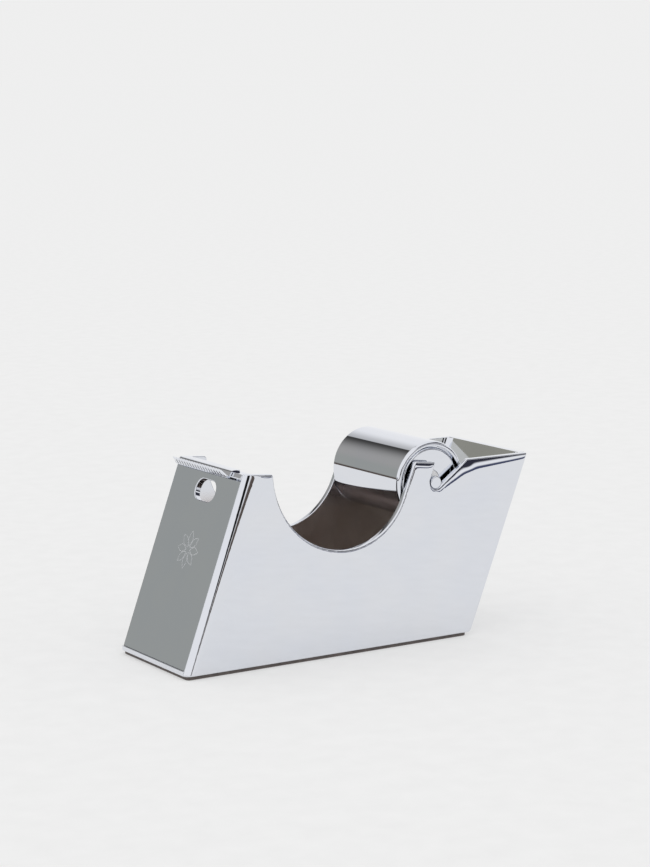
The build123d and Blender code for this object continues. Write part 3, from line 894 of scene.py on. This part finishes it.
AXLE_R, AXLE_EDGE, WAIST_R, WAIST_HALF = 1.95, 0.3, 3.0, 12.5
axle_end = axle_high.y - AXLE_EDGE
half_profile = circle_steps(AXLE_R - AXLE_EDGE, axle_end, AXLE_EDGE, 90, 0, 4)
half_profile += [(AXLE_R, WAIST_HALF), (WAIST_R, WAIST_HALF)]
bm = bmesh.new()
turned(bm, half_profile + [(r, -y) for r, y in half_profile[::-1]], hub_centre, False, 64)
place(new_piece("axle_pin", bm, (bright_chrome,)), "axle", "ground_steel", "axle")

# ---------------------------------------------------------------- etched rosette on the front wall
PETALS = 8
PETAL_FROM, PETAL_TO, PETAL_HALF = 0.9, 6.0, 1.25
LINE, PROUD = 0.22, 0.012
ROSETTE_Y, ROSETTE_UP = -1.1, 36.0


def on_front(u, v, proud):
    """A point on the front wall: across, up the slope from its foot, and out of it."""
    lean = radians(FRONT_LEAN)
    x = front_bottom[0] + v * sin(lean) - proud * cos(lean)
    return to_metres(x, u, FOOT_Z + v * cos(lean) + proud * sin(lean))


bm = bmesh.new()
for petal in range(PETALS):
    turn_by = 2 * pi * petal / PETALS
    c, s = cos(turn_by), sin(turn_by)
    steps = [i / 12 for i in range(13)]
    half_petal = [
        (PETAL_FROM + (PETAL_TO - PETAL_FROM) * t, PETAL_HALF * sin(pi * t)) for t in steps
    ]
    petal_shape = half_petal + [(r, -w) for r, w in half_petal[-2:0:-1]]
    edge = [(ROSETTE_Y + r * c - w * s, ROSETTE_UP + r * s + w * c) for r, w in petal_shape]
    heart = inset(edge, -LINE)
    strip = ((edge, -PROUD), (edge, PROUD), (heart, PROUD), (heart, -PROUD))
    loops = [[on_front(u, v, depth) for u, v in line] for line, depth in strip]
    skin(bm, loops, close_ring=True)
place(new_piece("etched_rosette", bm, (frosted_line,)), "housing", "polished_chrome")

# ---------------------------------------------------------------- studio
# Backdrop paper, lit from below as well, so that shadows on it stay faint.
FLOOR_HALF, FLOOR_DROP = 30.0, 0.05      # in metres; below the pad, in millimetres
floor_material, tree, where = surface("lit_backdrop_paper")
cloud = add(tree, "TexNoise", {"Vector": where}, Scale=1 / (8.333 * MM), Detail=3.0)
spread = {"Fac": cloud.outputs["Fac"]}
tone = add(tree, "ValToRGB", spread, [(NOISE_LOW, "#ababab"), (NOISE_HIGH, "#adadad")])
shader = add(
    tree,
    "BsdfPrincipled",
    {"Base Color": tone.outputs["Color"], "Emission Color": tone.outputs["Color"]},
    Emission_Strength=1.06,
    Specular_IOR_Level=0.0,
    Roughness=0.9,
)
add(tree, "OutputMaterial", {"Surface": shader.outputs[0]})
bm = bmesh.new()
bmesh.ops.create_grid(bm, x_segments=2, y_segments=2, size=FLOOR_HALF)
floor = new_piece("studio_floor", bm, (floor_material,))
floor.location.z = (pad_low.z - FLOOR_DROP) * MM

world = bpy.data.worlds.new("soft_room")
scene.world = world
world.use_nodes = True
sky = world.node_tree.nodes["Background"]
sky.inputs["Color"].default_value = (0.86, 0.86, 0.86, 1)
sky.inputs["Strength"].default_value = 1.0

sun_data = bpy.data.lights.new("overhead_softbox", "SUN")
sun_data.energy = 0.55
sun_data.angle = radians(120)
sun = bpy.data.objects.new("overhead_softbox", sun_data)
sun.rotation_euler = (radians(18), radians(-12), 0)
sun.visible_glossy = False
scene.collection.objects.link(sun)

# A tent of pale cloth stands round the object and is seen only in its mirrors. Azimuths run from
# +X and elevations from level, both in degrees. Lights are linear red, green and blue.
TENT_R, TENT_Z = 1.6, 0.052              # in metres
CLOTH = np.array((0.92, 0.92, 0.93))
# The cloth falls off into shade on its way to the card.
SHADE_EDGE, SHADE_FROM, SHADE = 50, 64, 0.42
# A grey card at the back left: the front wall mirrors it. It is darkest at its first edge.
CARD_FROM, CARD_TO, CARD_SOFT = 87.5, 131, 1.2
CARD_TOP = (44, 48)
CARD_DARK, CARD_DARK_TO = 0.13, (88, 117)
CARD_LOW, CARD_HIGH = np.array((0.351, 0.362, 0.346)), np.array((0.380, 0.374, 0.364))
CARD_BLEND = (12, 22)
# A dark slit on the camera's side: the crease beside the front bevel shows it as a thin black line.
SLIT_AZ, SLIT_EL, SLIT_SOFT, SLIT_LIGHT = (239, 264), (2, 16), 2, 0.015
# Two dark bands on the near side, one low and long, one high. Drum and rolled edges show them.
LOW_BAND_AZ, LOW_BAND_EL = (268, 350, 4), (4.6, 16, 1.5)
HIGH_BAND_AZ, HIGH_BAND_EL = (285, 352, 10), (24, 43, 3)
BAND_LIGHT = np.array((0.035, 0.035, 0.05))
# Dark skirting where the cloth meets the table, with one gap and one stretch of dark blue. The
# rolled edges show it as a thin line.
SKIRT_TOP, SKIRT_GAP, SKIRT_BLUE_AZ = (0.2, 1.8), (25, 78, 8), (290, 340, 20)
SKIRT_BROWN, SKIRT_BLUE = np.array((0.10, 0.08, 0.07)), np.array((0.06, 0.07, 0.13))


def smooth(value, low, high):
    """0 below low, 1 above high, eased between."""
    t = min(max((value - low) / (high - low), 0.0), 1.0)
    return t * t * (3 - 2 * t)


def between(value, low, high, soft):
    """1 between low and high, falling to 0 over a soft margin."""
    rise = smooth(value, low - soft / 2, low + soft / 2)
    return rise * (1 - smooth(value, high - soft / 2, high + soft / 2))


def laid_over(under, over, share):
    """One light with a share of another laid over it."""
    return under * (1 - share) + share * over


def tent_glow(az, el):
    """Light of the tent's wall at an azimuth and an elevation."""
    light = CLOTH
    if SHADE_EDGE < az < CARD_FROM:
        light = light * (1 - SHADE * smooth(az, SHADE_FROM, CARD_FROM))
    card = between(az, CARD_FROM, CARD_TO, CARD_SOFT) * (1 - smooth(el, *CARD_TOP))
    card_shade = CARD_DARK + (1 - CARD_DARK) * smooth(az, *CARD_DARK_TO)
    card_tone = laid_over(CARD_LOW, CARD_HIGH, smooth(el, *CARD_BLEND))
    light = laid_over(light, card_shade * card_tone, card)
    slit = between(az, *SLIT_AZ, SLIT_SOFT) * between(el, *SLIT_EL, SLIT_SOFT)
    light = laid_over(light, SLIT_LIGHT, slit)
    band = between(az, *LOW_BAND_AZ) * between(el, *LOW_BAND_EL)
    band = max(band, between(az, *HIGH_BAND_AZ) * between(el, *HIGH_BAND_EL))
    light = laid_over(light, BAND_LIGHT, band)
    skirt = (1 - smooth(el, *SKIRT_TOP)) * (1 - between(az, *SKIRT_GAP))
    skirt_tone = laid_over(SKIRT_BROWN, SKIRT_BLUE, between(az, *SKIRT_BLUE_AZ))
    return laid_over(light, skirt_tone, skirt)


# Rows of cloth are close together down by the skirting and even above it.
azimuths = range(360)
elevations = [-2.4, -1.4, -0.8, -0.2, 0.3, 0.8, 1.3, 1.8, 2.4, 3.2]
elevations += [4.0 + 1.5 * i for i in range(57)]
loops = []
for el in elevations:
    out, up = TENT_R * cos(radians(el)), TENT_Z + TENT_R * sin(radians(el))
    loops.append([(out * cos(radians(az)), out * sin(radians(az)), up) for az in azimuths])
bm = bmesh.new()
glow_layer = bm.verts.layers.float_color.new("glow")
for el, ring in zip(elevations, skin(bm, loops)):
    for az, vert in zip(azimuths, ring):
        vert[glow_layer] = (*tent_glow(az, el), 1.0)
# Thin white cloth lit from outside: an even, soft glow with no texture of its own.
tent_material, tree, _ = surface("lit_tent_cloth")
glow = add(tree, "Attribute", attribute_name="glow")
light = add(tree, "Emission", {"Color": glow.outputs["Color"]}, Strength=1.0)
add(tree, "OutputMaterial", {"Surface": light.outputs[0]})
mesh = bpy.data.meshes.new("light_tent")
bm.to_mesh(mesh)
bm.free()
mesh.materials.append(tent_material)
tent = bpy.data.objects.new("light_tent", mesh)
scene.collection.objects.link(tent)
tent.visible_camera = False
tent.visible_diffuse = False
tent.visible_shadow = False
tent.visible_transmission = False
